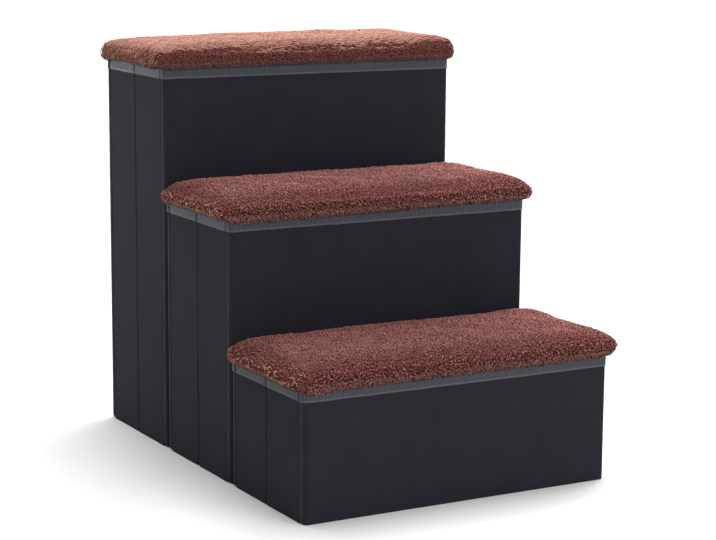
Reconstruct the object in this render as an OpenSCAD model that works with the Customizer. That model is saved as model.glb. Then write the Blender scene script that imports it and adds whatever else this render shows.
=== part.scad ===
// Pet stairs: three folding storage boxes of rising height, each under a plush lid that lifts
// off. Every box has stiff cloth-covered walls. Its two side walls crease inwards at mid depth
// on cloth hinges, and its base of two leaves rises with them, so that the box folds flat.
// Touch-fastening strips hold each box to the next. Lengths are in millimetres.
// X runs to the right, Y towards the highest step and Z up. The origin is on the floor, under
// the middle of the stairs.

/* [Steps] */
// Width of the boxes
width = 400; // [300:5:500]
// Depth of each box, front face to back face
box_depth = 180; // [150:2:260]
// Height of the lowest box's rim
first_height = 150; // [120:5:200]
// Rise from one rim to the next
step_rise = 160; // [130:5:200]
// Space between two boxes, which the fastening strips fill
box_gap = 2; // [1.6:0.2:4]

/* [Walls] */
// Thickness of a covered wall board
panel_t = 7; // [5:0.5:10]
// Radius of a box's upright corners, seen from above
corner_r = 6; // [3:0.5:7]
// Radius of a wall's lower corners
foot_r = 5; // [2:0.5:8]
// Radius of a side wall's upright outer edges
edge_r = 2; // [1:0.25:3]
// Depth of the cloth hinge at each corner, from the end wall's inner face to the side wall
hinge_gap = 4; // [3.8:0.1:6]
// Play between a side wall and the end wall's turned edge
seam_gap = 0.5; // [0.3:0.1:0.8]
// Space at the crease between the two halves of a side wall
crease_gap = 1; // [0.6:0.2:2]

/* [Binding tape] */
// Height of the tape on a wall's faces
tape_h = 13; // [8:1:20]
// Thickness of the tape
tape_t = 0.8; // [0.5:0.1:1]

/* [Base] */
// Thickness of a base leaf
leaf_t = 3; // [2:0.1:3.2]
// Play between a leaf's hinged edge and the wall that carries it
leaf_gap = 0.5; // [0.3:0.1:0.6]
// Play between a leaf's slanted ends and the side walls
leaf_end_gap = 1.5; // [1:0.5:5]
// Height of the base cloth above the floor
cloth_lift = 1; // [0.6:0.2:3]
// Thickness of the base cloth
cloth_t = 1; // [0.6:0.1:2]

/* [Fastening strips] */
// Width of a strip
strip_w = 25; // [15:5:50]
// Distance from a box's side to a strip
strip_inset = 45; // [20:5:80]
// Height of a strip's lower end above the floor
strip_foot = 30; // [20:5:60]
// Distance from the rim of the lower box down to a strip's upper end
strip_drop = 30; // [20:5:40]
// Play between a strip's hooks and its loops
strip_play = 0.2; // [0.1:0.1:0.4]

/* [Lids] */
// Overhang of a lid past the box's sides
side_over = 15; // [8:1:25]
// Overhang of a lid past the box's front, and of the top lid past its back
front_over = 5; // [3:1:12]
// Play between a lid and the riser behind it
riser_gap = 1; // [0.6:0.2:1.4]
// Play between a lid and the rim under it
rim_gap = 0.4; // [0.3:0.1:1]
// Height of a lid's plush edge
cover_h = 26; // [22:1:40]
// Rise of the lid's middle above its edge
crown = 4; // [0:0.5:10]
// Radius of a lid's corners, seen from above
lid_r = 16; // [12:1:25]
// Width of the soft rounding along the lid's upper edge
soft_edge = 14; // [10:1:20]
// How far the lid's sides draw in between its corners
draw_in = 1.2; // [0:0.2:1.6]
// Thickness of plush and backing round the lid's board
cover_t = 6.5; // [5:0.5:10]
// Width of the hem that is turned under the board
hem_w = 22; // [15:1:30]
// Thickness of the turned hem
hem_t = 1.2; // [0.8:0.1:2]
// Thickness of the lid's board
board_t = 4; // [3:0.5:6]
// Thickness of the foam pad
pad_t = 12; // [8:1:16]

/* [Hidden] */
// Play round what the plush cover encloses, and round the base cloth
soft_gap = 0.3;
// Overrun of the shapes that cut others
cut = 1;
$fn = 48;

STEPS = ["bottom", "middle", "top"];
TOP_STEP = len(STEPS) - 1;
KINDS = [
    "front_panel", "back_panel",
    "left_front_panel", "left_rear_panel", "right_front_panel", "right_rear_panel",
    "front_tape", "back_tape",
    "left_front_tape", "left_rear_tape", "right_front_tape", "right_rear_tape",
    "front_leaf", "rear_leaf", "base_cloth",
    "lid_board", "lid_pad", "lid_cover", "lid_backing"
];
JOINS = ["lower", "upper"];

PANEL_COLOR = [0.17, 0.17, 0.19];
TAPE_COLOR = [0.33, 0.34, 0.39];
PLUSH_COLOR = [0.52, 0.33, 0.28];
BASE_COLOR = [0.12, 0.12, 0.13];
BOARD_COLOR = [0.66, 0.53, 0.38];
FOAM_COLOR = [0.86, 0.82, 0.70];
STRIP_COLOR = [0.08, 0.08, 0.09];

pitch = box_depth + box_gap;
total_depth = TOP_STEP * pitch + box_depth;
half_width = width / 2;

// A side wall fills the box's depth between the two cloth hinges.
side_start = panel_t + hinge_gap;
side_half = box_depth / 2 - side_start - crease_gap / 2;
return_d = hinge_gap - seam_gap;

// The leaves lie on the base cloth and meet at mid depth.
leaf_z = cloth_lift + cloth_t + soft_gap;
leaf_length = box_depth / 2 - panel_t - leaf_gap - crease_gap / 2;
leaf_half_width = half_width - panel_t - leaf_end_gap;

// Layers of a lid, counted up from the rim.
board_z = rim_gap + hem_t;
pad_z = board_z + board_t;
cavity_top = pad_z + pad_t + soft_gap;
// The board's edge is as far in from the lid's edge as the plush is thick.
board_r = lid_r - cover_t;

// Inset and height of the plush edge's section, as shares of soft_edge and cover_h.
edge_shares = [
    [0.28, 0.00], [0.08, 0.05], [0.00, 0.22], [0.00, 0.45],
    [0.06, 0.66], [0.22, 0.83], [0.54, 0.95], [1.00, 1.00]
];
// Inset of the crown's rings, as shares of the way from the soft edge to the flat middle.
crown_shares = [0.30, 0.65, 1.00];
// Size of the flat middle, as a share of a lid's depth.
middle_share = 0.18;
// Smallest corner radius of a ring, as a share of lid_r.
least_radius_share = 0.15;
// Pieces that a lid's corner and its long and short sides are divided into.
corner_pieces = 5;
long_pieces = 12;
short_pieces = 6;

function front_of(step) = -total_depth / 2 + step * pitch;
function rim_of(step) = first_height + step * step_rise;
function panel_top(step) = rim_of(step) - tape_t;
// Lids stop short of the riser behind them, and the top lid hangs over at its back.
function lid_front(step) = front_of(step) - front_over;
function lid_back(step) =
    front_of(step) + box_depth + (step == TOP_STEP ? front_over : box_gap - riser_gap);

// A rectangle with its four corners rounded.
module rounded_rectangle(size_x, size_y, radius) {
    translate([radius, 0]) square([size_x - 2 * radius, size_y]);
    translate([0, radius]) square([size_x, size_y - 2 * radius]);
    for (x = [radius, size_x - radius], y = [radius, size_y - radius])
        translate([x, y]) circle(radius);
}

// A wall seen face on: a rectangle from its lower left corner, whose lower corners are rounded.
module wall_face(size_x, size_y) {
    translate([0, foot_r]) square([size_x, size_y - foot_r]);
    translate([foot_r, 0]) square([size_x - 2 * foot_r, size_y / 2]);
    for (x = [foot_r, size_x - foot_r]) translate([x, foot_r]) circle(foot_r);
}

// An end wall from above, outer face on Y = 0. Its ends turn back towards the side walls.
// grow adds the tape's thickness to its faces.
module end_wall_plan(grow = 0) {
    outer_half = half_width + grow;
    pocket_half = half_width - panel_t + seam_gap;
    outer_r = corner_r + grow;
    reach = panel_t + return_d;
    difference() {
        translate([-outer_half, -grow])
            rounded_rectangle(2 * outer_half, reach + grow + outer_r, outer_r);
        translate([-outer_half - cut, reach])
            square([2 * (outer_half + cut), outer_r + cut]);
        translate([-pocket_half, panel_t + grow]) square([2 * pocket_half, reach]);
    }
}

// Half a side wall from above, outer face on X = 0, its hinged end on Y = 0.
module side_half_plan(grow = 0) {
    outer_r = edge_r + grow;
    thick = panel_t + 2 * grow;
    translate([-grow, 0]) {
        translate([outer_r, 0]) square([thick - outer_r, side_half]);
        translate([0, outer_r]) square([thick, side_half - 2 * outer_r]);
        for (y = [outer_r, side_half - outer_r]) translate([outer_r, y]) circle(outer_r);
    }
}

// Binding tape folded over a wall's upper edge. The first child is the wall's plan with the
// tape round it, and the second is what the tape goes round.
module folded_tape(step) {
    translate([0, 0, rim_of(step) - tape_h]) difference() {
        linear_extrude(tape_h) children(0);
        translate([0, 0, -cut]) linear_extrude(tape_h - tape_t + cut) children(1);
    }
}

// Places a front wall, or turns it round to stand as the back wall.
module at_end(step, back) {
    translate([0, front_of(step) + (back ? box_depth : 0), 0])
        mirror([0, back ? 1 : 0, 0]) children();
}

// Places the left front half of a side wall, or mirrors it to the right, the rear or both.
module at_side(step, right, rear) {
    translate([0, front_of(step) + box_depth / 2, 0])
        mirror([right ? 1 : 0, 0, 0]) mirror([0, rear ? 1 : 0, 0])
            translate([-half_width, side_start - box_depth / 2, 0]) children();
}

module end_panel(step, back) {
    reach = panel_t + return_d;
    color(PANEL_COLOR) at_end(step, back) intersection() {
        linear_extrude(panel_top(step)) end_wall_plan();
        translate([-half_width, reach, 0]) rotate([90, 0, 0])
            linear_extrude(reach) wall_face(width, panel_top(step));
    }
}

module side_panel(step, right, rear) {
    color(PANEL_COLOR) at_side(step, right, rear) intersection() {
        linear_extrude(panel_top(step)) side_half_plan();
        rotate([90, 0, 90]) linear_extrude(panel_t) wall_face(side_half, panel_top(step));
    }
}

module end_tape(step, back) {
    color(TAPE_COLOR) at_end(step, back) folded_tape(step) {
        end_wall_plan(tape_t);
        end_wall_plan();
    }
}

module side_tape(step, right, rear) {
    color(TAPE_COLOR) at_side(step, right, rear) folded_tape(step) {
        side_half_plan(tape_t);
        translate([0, -cut]) square([panel_t, side_half + 2 * cut]);
    }
}

// One leaf of the base, hinged on an end wall. Its ends slant in at 45 degrees, which keeps
// them clear of the side walls at every stage of the fold.
module base_leaf(step, back) {
    color(BASE_COLOR) at_end(step, back) translate([0, panel_t + leaf_gap, leaf_z])
        linear_extrude(leaf_t) polygon([
            [-leaf_half_width, 0], [leaf_half_width, 0],
            [leaf_half_width - leaf_length, leaf_length],
            [-leaf_half_width + leaf_length, leaf_length]
        ]);
}

// The cloth under the leaves closes the box's base, also beside their slanted ends.
module base_cloth(step) {
    half_cloth = half_width - panel_t - soft_gap;
    color(BASE_COLOR)
        translate([-half_cloth, front_of(step) + panel_t + soft_gap, cloth_lift])
            cube([2 * half_cloth, box_depth - 2 * (panel_t + soft_gap), cloth_t]);
}

// Two strips of hooks on the lower box's back and two of loops on the taller box's front.
module fastener_strips(join) {
    half_t = (box_gap - strip_play) / 2;
    behind = front_of(join) + box_depth;
    length = rim_of(join) - strip_foot - strip_drop;
    color(STRIP_COLOR)
        for (side = [-1, 1], y = [behind, behind + half_t + strip_play])
            translate([side * (half_width - strip_inset - strip_w / 2) - strip_w / 2, y,
                       strip_foot])
                cube([strip_w, half_t, length]);
}

// A flat layer of the lid, set in from the lid's edge all round.
module lid_layer(step, inset, radius, z, thick) {
    depth = lid_back(step) - lid_front(step);
    translate([-half_width - side_over + inset, lid_front(step) + inset, rim_of(step) + z])
        linear_extrude(thick)
            rounded_rectangle(width + 2 * (side_over - inset), depth - 2 * inset, radius);
}

module lid_board(step) {
    color(BOARD_COLOR) lid_layer(step, cover_t, board_r, board_z, board_t);
}

module lid_pad(step) {
    color(FOAM_COLOR) lid_layer(step, cover_t, board_r, pad_z, pad_t);
}

// Lining cloth that closes the lid's underside inside the turned hem.
module lid_backing(step) {
    inset = hem_w + soft_gap;
    color(BASE_COLOR) lid_layer(step, inset, board_r / 2, rim_gap, hem_t);
}

// Points along one straight side of a ring, without its ends, drawn in towards its middle.
function side_points(from, to, inward, draw, pieces, z) = [
    for (k = [1 : pieces - 1])
        let (t = k / pieces, p = from + (to - from) * t + inward * draw * pow(sin(180 * t), 2))
            [p.x, p.y, z]
];

// Points round one corner of a ring.
function corner_points(centre, radius, start, z) = [
    for (k = [0 : corner_pieces])
        let (a = start + 90 * k / corner_pieces)
            [centre.x + radius * cos(a), centre.y + radius * sin(a), z]
];

// A rounded rectangle at one height. Every ring has the same number of points.
function ring(step, inset, radius, draw, z) =
    let (
        x = half_width + side_over - inset,
        y0 = lid_front(step) + inset,
        y1 = lid_back(step) - inset,
        r = max(radius, lid_r * least_radius_share),
        xc = x - r
    )
    concat(
        corner_points([xc, y1 - r], r, 0, z),
        side_points([xc, y1], [-xc, y1], [0, -1], draw, long_pieces, z),
        corner_points([-xc, y1 - r], r, 90, z),
        side_points([-x, y1 - r], [-x, y0 + r], [1, 0], draw, short_pieces, z),
        corner_points([-xc, y0 + r], r, 180, z),
        side_points([-xc, y0], [xc, y0], [0, 1], draw, long_pieces, z),
        corner_points([xc, y0 + r], r, 270, z),
        side_points([x, y0 + r], [x, y1 - r], [-1, 0], draw, short_pieces, z)
    );

// The plush cover's rings, from its inner top, under the board's edge and round to the crown.
function cover_rings(step) =
    let (
        base = rim_of(step),
        depth = lid_back(step) - lid_front(step),
        cavity = cover_t - soft_gap,
        reach = depth * (1 - middle_share) / 2 - soft_edge
    )
    concat(
        [
            ring(step, cavity, board_r + soft_gap, 0, base + cavity_top),
            ring(step, cavity, board_r + soft_gap, 0, base + board_z),
            ring(step, hem_w, board_r / 2, 0, base + board_z),
            ring(step, hem_w, board_r / 2, 0, base + rim_gap)
        ],
        [
            for (share = edge_shares)
                let (inset = share[0] * soft_edge)
                    ring(step, inset, lid_r - inset, draw_in,
                         base + rim_gap + share[1] * (cover_h - rim_gap))
        ],
        [
            for (share = crown_shares)
                let (inset = soft_edge + share * reach)
                    ring(step, inset, lid_r - inset, draw_in * (1 - share),
                         base + cover_h + crown * sin(90 * share))
        ]
    );

// The middle of a ring, where the skin over the rings closes.
function middle_of(r) =
    let (low = min([for (p = r) p.y]), high = max([for (p = r) p.y]))
        [0, (low + high) / 2, r[0].z];

// A closed skin over rings that have as many points each.
module skin(rings) {
    count = len(rings[0]);
    last = len(rings) - 1;
    first_middle = count * len(rings);
    last_middle = first_middle + 1;
    polyhedron(
        points = concat(
            [for (r = rings) each r],
            [middle_of(rings[0]), middle_of(rings[last])]
        ),
        faces = concat(
            [for (k = [0 : count - 1]) [first_middle, k, (k + 1) % count]],
            [
                for (level = [0 : last - 1], k = [0 : count - 1])
                    let (
                        a = level * count + k,
                        b = level * count + (k + 1) % count,
                        c = b + count,
                        d = a + count
                    )
                        each [[a, d, b], [b, d, c]]
            ],
            [
                for (k = [0 : count - 1])
                    [last_middle, last * count + (k + 1) % count, last * count + k]
            ]
        ),
        convexity = 4
    );
}

module lid_cover(step) {
    color(PLUSH_COLOR) skin(cover_rings(step));
}

module piece(step, kind) {
    if (kind == "front_panel") end_panel(step, false);
    if (kind == "back_panel") end_panel(step, true);
    if (kind == "left_front_panel") side_panel(step, false, false);
    if (kind == "left_rear_panel") side_panel(step, false, true);
    if (kind == "right_front_panel") side_panel(step, true, false);
    if (kind == "right_rear_panel") side_panel(step, true, true);
    if (kind == "front_tape") end_tape(step, false);
    if (kind == "back_tape") end_tape(step, true);
    if (kind == "left_front_tape") side_tape(step, false, false);
    if (kind == "left_rear_tape") side_tape(step, false, true);
    if (kind == "right_front_tape") side_tape(step, true, false);
    if (kind == "right_rear_tape") side_tape(step, true, true);
    if (kind == "front_leaf") base_leaf(step, false);
    if (kind == "rear_leaf") base_leaf(step, true);
    if (kind == "base_cloth") base_cloth(step);
    if (kind == "lid_board") lid_board(step);
    if (kind == "lid_pad") lid_pad(step);
    if (kind == "lid_cover") lid_cover(step);
    if (kind == "lid_backing") lid_backing(step);
}

for (step = [0 : TOP_STEP], kind = KINDS)
    piece(step, kind);
for (join = [0 : len(JOINS) - 1])
    fastener_strips(join);
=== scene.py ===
"""The looks of the pet stairs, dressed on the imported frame.

Lengths are millimetres until a mesh is made, and metres from there on. X runs to the right,
Y towards the highest step and Z up, with the origin on the floor.
"""

import math
from collections import namedtuple
from itertools import product

import bpy
import numpy as np
from mathutils import Matrix, Vector


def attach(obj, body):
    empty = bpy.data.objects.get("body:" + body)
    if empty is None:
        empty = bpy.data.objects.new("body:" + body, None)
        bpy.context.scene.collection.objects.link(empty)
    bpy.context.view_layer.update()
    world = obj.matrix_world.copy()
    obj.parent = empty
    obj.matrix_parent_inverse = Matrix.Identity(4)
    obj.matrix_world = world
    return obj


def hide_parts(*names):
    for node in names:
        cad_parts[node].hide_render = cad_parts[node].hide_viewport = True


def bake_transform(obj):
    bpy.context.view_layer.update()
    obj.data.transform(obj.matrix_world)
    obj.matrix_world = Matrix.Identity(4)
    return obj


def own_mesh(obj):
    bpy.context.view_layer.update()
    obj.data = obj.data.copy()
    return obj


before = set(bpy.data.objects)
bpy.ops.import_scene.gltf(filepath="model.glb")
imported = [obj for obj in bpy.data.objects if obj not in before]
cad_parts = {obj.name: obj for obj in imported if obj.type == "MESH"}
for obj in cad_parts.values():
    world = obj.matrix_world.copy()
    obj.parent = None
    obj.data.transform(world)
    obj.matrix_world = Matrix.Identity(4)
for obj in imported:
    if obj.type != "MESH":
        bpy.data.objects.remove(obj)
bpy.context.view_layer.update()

MM = 0.001
STEPS = ["bottom", "middle", "top"]
TOP = 2  # the highest step's place in STEPS: nothing stands behind it, and its lid is combed
FRONTS = [-272.0, -90.0, 92.0]  # front face of each box
RIMS = [150.0, 310.0, 470.0]
HALF, DEPTH, GAP = 200.0, 180.0, 2.0  # half a box's width, its depth and the space behind it
PANEL_T, CORNER_R, FOOT_R = 7.0, 6.0, 5.0  # a wall's thickness and radii
RETURN_END = 10.5  # outer face of an end wall to the end of its turned edge
POCKET = 193.5  # half the distance between the turned edges
SIDE_START, SIDE_HALF, EDGE_R = 11.0, 78.5, 2.0  # start, length and edge of half a side wall
TAPE_H, TAPE_T = 13.0, 0.8
SEAM_UP = 1.9  # a tape's lower edge to its seam
FOLD_ROOM = 0.17  # how far a tape may stand proud, so that folded halves clear each other
SIDE_OVER, FRONT_OVER, RISER_GAP = 15.0, 5.0, 1.0  # a lid past its box, and off the next one
LID_R, LID_HALF = 16.0, HALF + SIDE_OVER
LID_LIFT = 0.45  # a rim to what lies on it
LINING_IN = 22.3  # a lid's edge to its lining
LINING_GAP = 0.3  # a base lining to the walls
WALLS = [  # the bodies that each box's front and back walls are part of
    ("bottom_front_wall", "lower_walls"),
    ("lower_walls", "upper_walls"),
    ("upper_walls", "top_back_wall"),
]
HELD_BACK = [True, True, False]  # whether the back wall, not the front one, stays in a fold


def add_object(name, data):
    obj = bpy.data.objects.new(name, data)
    bpy.context.scene.collection.objects.link(obj)
    return obj


def mesh_object(name, points, faces, materials, sharp=None, indices=None):
    """An object from points in millimetres and faces of any size."""
    mesh = bpy.data.meshes.new(name)
    mesh.from_pydata((np.asarray(points, float) * MM).tolist(), [], faces)
    mesh.validate()
    for material in materials:
        mesh.materials.append(material)
    mesh.polygons.foreach_set("use_smooth", [True] * len(mesh.polygons))
    if indices is not None:
        mesh.polygons.foreach_set("material_index", indices)
    if sharp is not None:
        mesh.set_sharp_from_angle(angle=math.radians(sharp))
    mesh.update()
    return add_object(name, mesh)


def triangle_object(name, points, triangles, materials, colours, indices):
    """An object from arrays of points in millimetres and triangles, for meshes of many faces."""
    mesh = bpy.data.meshes.new(name)
    mesh.vertices.add(len(points))
    mesh.vertices.foreach_set("co", (points * MM).astype(np.float32).ravel())
    mesh.loops.add(3 * len(triangles))
    mesh.loops.foreach_set("vertex_index", triangles.astype(np.int32).ravel())
    mesh.polygons.add(len(triangles))
    starts = np.arange(0, 3 * len(triangles), 3, dtype=np.int32)
    mesh.polygons.foreach_set("loop_start", starts)
    mesh.polygons.foreach_set("use_smooth", np.ones(len(triangles), bool))
    for material in materials:
        mesh.materials.append(material)
    mesh.polygons.foreach_set("material_index", indices.astype(np.int32))
    mesh.update(calc_edges=True)
    attribute = mesh.color_attributes.new("pile", "FLOAT_COLOR", "POINT")
    attribute.data.foreach_set("color", colours.astype(np.float32).ravel())
    return add_object(name, mesh)


def dress(obj, body, node=None):
    """Lets a piece ride on a body, in place of a CAD node if one is named."""
    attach(obj, body)
    if node:
        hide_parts(node)
    return obj


def unit(rows):
    """Vectors scaled to length 1."""
    return rows / np.maximum(np.linalg.norm(rows, axis=-1, keepdims=True), 1e-9)


def at_height(plan, z):
    return np.column_stack([plan, np.full(len(plan), z)])


def rise(value, span):
    """0 below 0, 1 from span on, and even between them."""
    return np.clip(value / span, 0, 1)


def waves(points, seed, size):
    """Smooth noise from -1 to 1 at points in millimetres, whose bumps are about size apart."""
    rng = np.random.default_rng(seed)
    count = 7
    k = rng.normal(size=(count, 3))
    length = np.linalg.norm(k, axis=1)[:, None]
    k *= (2 * math.pi / size) * rng.uniform(0.6, 1.5, (count, 1)) / length
    phase = rng.uniform(0, 2 * math.pi, count)
    return np.sin(points @ k.T + phase).sum(axis=1) / math.sqrt(count) * 0.8


def rounded_path(corners, longest):
    """A closed plan from (x, y, radius) corners, anticlockwise, with its straight runs divided
    into pieces no longer than longest, and once more just past each wide corner."""
    points = []
    past_corner, long_run = 1.2, 8
    for i, (x, y, r) in enumerate(corners):
        *following, next_r = corners[(i + 1) % len(corners)]
        p, following = np.array([x, y]), np.array(following)
        before, after = unit(np.array(corners[i - 1][:2]) - p), unit(following - p)
        a, b = p + before * r, p + after * r
        centre = a + after * r
        start = math.atan2(*(a - centre)[::-1])
        sweep = math.atan2(*(b - centre)[::-1]) - start
        sweep = (sweep + math.pi) % (2 * math.pi) - math.pi
        pieces = 7 if r > 1 else 3
        for k in range(pieces + 1):
            angle = start + sweep * k / pieces
            points.append(centre + r * np.array([math.cos(angle), math.sin(angle)]))
        run = following - after * next_r - b
        distance = np.linalg.norm(run)
        steps = int(distance // longest)
        shares = [(k + 1) / (steps + 1) for k in range(steps)]
        if distance > long_run and r > 1:
            shares.append(past_corner / distance)
        if distance > long_run and next_r > 1:
            shares.append(1 - past_corner / distance)
        points += [b + run * share for share in sorted(shares)]
    return np.array(points)


def outward(plan):
    """Outward normals of an anticlockwise closed plan."""
    ahead, behind = np.roll(plan, -1, axis=0) - plan, plan - np.roll(plan, 1, axis=0)
    along = unit(unit(ahead) + unit(behind))
    return np.stack([along[:, 1], -along[:, 0]], axis=1)


def loft_faces(levels, count, flip=False):
    """Quads between rows of a closed loft, and its two caps."""
    faces = [
        (i * count + k, i * count + (k + 1) % count,
         (i + 1) * count + (k + 1) % count, (i + 1) * count + k)
        for i in range(levels - 1)
        for k in range(count)
    ]
    last = (levels - 1) * count
    faces += [tuple(range(count - 1, -1, -1)), tuple(range(last, last + count))]
    return [tuple(reversed(f)) for f in faces] if flip else faces


def loft(name, points, levels, material, sharp=None, flip=False):
    """An object of one material from the points of a closed loft with so many levels."""
    faces = loft_faces(levels, len(points) // levels, flip)
    return mesh_object(name, points, faces, [material], sharp)


def set_uv(obj, uv):
    """Stores two coordinates of each point, given in millimetres, as the mesh's UV map."""
    mesh = obj.data
    corner = np.zeros(len(mesh.loops), np.int32)
    mesh.loops.foreach_get("vertex_index", corner)
    layer = mesh.uv_layers.new(name="UVMap")
    layer.data.foreach_set("uv", (uv[corner] * MM).astype(np.float32).ravel())


def set_wear_and_light(obj, values):
    attribute = obj.data.attributes.new("wear_and_light", "FLOAT", "POINT")
    attribute.data.foreach_set("value", values.astype(np.float32))


def around(path):
    """Distance along a path at each of its points."""
    steps = np.linalg.norm(np.diff(path, axis=0), axis=1)
    return np.concatenate([[0], np.cumsum(steps)])


def tube(path, radii, count=3):
    """Points and triangles of a tapered tube that closes at its far end."""
    ahead = unit(np.gradient(path, axis=0))
    side = unit(np.cross(ahead[0], [0.31, 0.22, 0.92]))
    sides = [side]
    for t in ahead[1:]:
        side = unit(side - t * (side @ t))
        sides.append(side)
    sides = np.array(sides)
    ups = np.cross(ahead, sides)
    angles = (np.arange(count) * 2 * math.pi / count)[None, :, None]
    ring = np.cos(angles) * sides[:, None, :] + np.sin(angles) * ups[:, None, :]
    rings = path[:, None, :] + radii[:, None, None] * ring
    end = path[-1:] + (path[-1:] - path[-2:-1]) * 0.35
    triangles = []
    for i in range(len(path) - 1):
        for k in range(count):
            a, b = i * count + k, i * count + (k + 1) % count
            triangles += [(a, b, b + count), (a, b + count, a + count)]
    last = (len(path) - 1) * count
    triangles += [(last + k, last + (k + 1) % count, last + count) for k in range(count)]
    return np.concatenate([rings.reshape(-1, 3), end]), np.array(triangles)


class Nodes:
    """Builds one material's nodes. Names in settings have _ for a space."""

    def __init__(self, name, **settings):
        self.material = bpy.data.materials.new(name)
        self.material.use_nodes = True
        self.tree = self.material.node_tree
        self.tree.nodes.clear()
        self.shader = self.add("BsdfPrincipled", **settings)
        self.link(self.shader.outputs["BSDF"], self.add("OutputMaterial").inputs["Surface"])

    def link(self, output, socket):
        self.tree.links.new(output, socket)

    def add(self, kind, vector=None, **settings):
        node = self.tree.nodes.new("ShaderNode" + kind)
        for key, value in settings.items():
            if hasattr(node, key) and key not in node.inputs:
                setattr(node, key, value)
            else:
                node.inputs[key.replace("_", " ")].default_value = value
        if vector is not None:
            self.link(vector, node.inputs["Vector"])
        return node

    def give(self, socket, value):
        """Links an output to a socket, or sets a number or a colour on it."""
        if hasattr(value, "is_linked"):
            self.link(value, socket)
        else:
            socket.default_value = value if isinstance(value, (int, float)) else (*value, 1)

    def place(self, scale=(1, 1, 1), which="Object"):
        source = self.add("TexCoord").outputs[which]
        return self.add("Mapping", source, Scale=scale).outputs["Vector"]

    def noise(self, vector, scale, detail, rough):
        node = self.add("TexNoise", vector, Scale=scale, Detail=detail, Roughness=rough)
        return node.outputs["Fac"]

    def cells(self, vector, scale, randomness=1.0):
        node = self.add("TexVoronoi", vector, Scale=scale, Randomness=randomness)
        return node.outputs["Distance"]

    def ramp(self, value, *stops):
        node = self.add("ValToRGB")
        elements = node.color_ramp.elements
        while len(elements) < len(stops):
            elements.new(0.5)
        for element, (place, colour) in zip(elements, stops):
            element.position = place
            element.color = (*colour, 1)
        self.link(value, node.inputs["Fac"])
        return node.outputs["Color"]

    def mix(self, share, a, b, kind="MIX"):
        node = self.add("Mix", data_type="RGBA", blend_type=kind)
        for socket, value in ((0, share), (6, a), (7, b)):
            self.give(node.inputs[socket], value)
        return node.outputs[2]

    def math(self, operation, a, b):
        node = self.add("Math", operation=operation)
        self.give(node.inputs[0], a)
        self.give(node.inputs[1], b)
        return node.outputs[0]

    def plus(self, a, b):
        return self.math("ADD", a, b)

    def minus(self, a, b):
        return self.math("SUBTRACT", a, b)

    def times(self, a, b):
        return self.math("MULTIPLY", a, b)

    def finish(self, colour, rough, low, high, height=None, strength=0.0, distance=0.0):
        """Gives the shader its colour, its roughness from low to high, and its bump."""
        self.link(colour, self.shader.inputs["Base Color"])
        spread = self.add("MapRange", To_Min=low, To_Max=high)
        self.link(rough, spread.inputs["Value"])
        self.link(spread.outputs["Result"], self.shader.inputs["Roughness"])
        if height is not None:
            bump = self.add("Bump", Strength=strength, Distance=distance)
            self.link(height, bump.inputs["Height"])
            self.link(bump.outputs["Normal"], self.shader.inputs["Normal"])
        return self.material


def wall_cloth():
    """Charcoal suede cloth: a short nap with soft shades, paler along the upright edges and at the
    foot, partly as wear and partly as a painted highlight.
    """
    m = Nodes("wall_cloth", Specular_IOR_Level=0.08, Sheen_Weight=0.015, Sheen_Roughness=0.45)
    shades = m.noise(m.place(), 22, 4, 0.6)
    nap = m.noise(m.place((1, 1, 0.45)), 520, 4, 0.7)
    base = m.ramp(shades, (0.3, (0.0136, 0.0133, 0.0184)), (0.7, (0.0192, 0.0187, 0.0256)))
    base = m.mix(m.times(nap, 0.5), base, (0.0240, 0.0234, 0.0316))
    # the attribute holds wear and a painted highlight, paler along the upright edges
    wear_and_light = m.add("Attribute", attribute_name="wear_and_light").outputs["Fac"]
    worn_and_lit = m.times(wear_and_light, m.plus(m.times(nap, 0.7), 0.35))
    base = m.mix(worn_and_lit, base, (0.038, 0.037, 0.046))
    return m.finish(base, shades, 0.78, 0.94, m.plus(nap, m.times(shades, 0.4)), 0.35, 0.0004)


def binding_tape():
    """Slate grey ribbed tape: cords across its width, tied by a fine weft, painted paler along its
    folded lower edge and on the side walls, as wear and as painted light.
    """
    m = Nodes("binding_tape", Specular_IOR_Level=0.35, Sheen_Weight=0.15, Sheen_Roughness=0.4)
    uv = m.place(which="UV")
    ribs = m.add("TexWave", uv, Scale=136.0, Distortion=1.8, Detail=1.5, Detail_Scale=1.2)
    weft = m.add("TexWave", uv, bands_direction="Y", Scale=230.0, Distortion=0.9)
    fuzz = m.noise(m.place(), 700, 3, 0.65)
    patches = m.noise(m.place(), 30, 3, 0.6)
    weave = m.times(ribs.outputs["Fac"], m.plus(m.times(weft.outputs["Fac"], 0.45), 0.55))
    base = m.ramp(weave, (0.05, (0.010, 0.012, 0.018)), (0.80, (0.073, 0.077, 0.095)))
    base = m.mix(m.times(fuzz, 0.22), base, (0.074, 0.077, 0.094))
    base = m.mix(m.times(patches, 0.4), base, (0.040, 0.045, 0.058))
    # paler with wear and a painted highlight on the folded edge, and painted light on the side
    # walls' tapes
    wear_and_light = m.add("Attribute", attribute_name="wear_and_light").outputs["Fac"]
    base = m.mix(m.times(wear_and_light, 0.35), base, (0.132, 0.135, 0.152))
    return m.finish(base, fuzz, 0.6, 0.85, m.plus(weave, m.times(fuzz, 0.3)), 0.8, 0.0006)


def thread(name, dark, light):
    """Twisted sewing thread, paler than the tape that it holds."""
    m = Nodes(name, Specular_IOR_Level=0.4, Sheen_Weight=0.1)
    twist = m.noise(m.place(), 1500, 2, 0.5)
    return m.finish(m.ramp(twist, (0.3, dark), (0.7, light)), twist, 0.45, 0.7, twist, 0.4, 0.0002)


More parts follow.
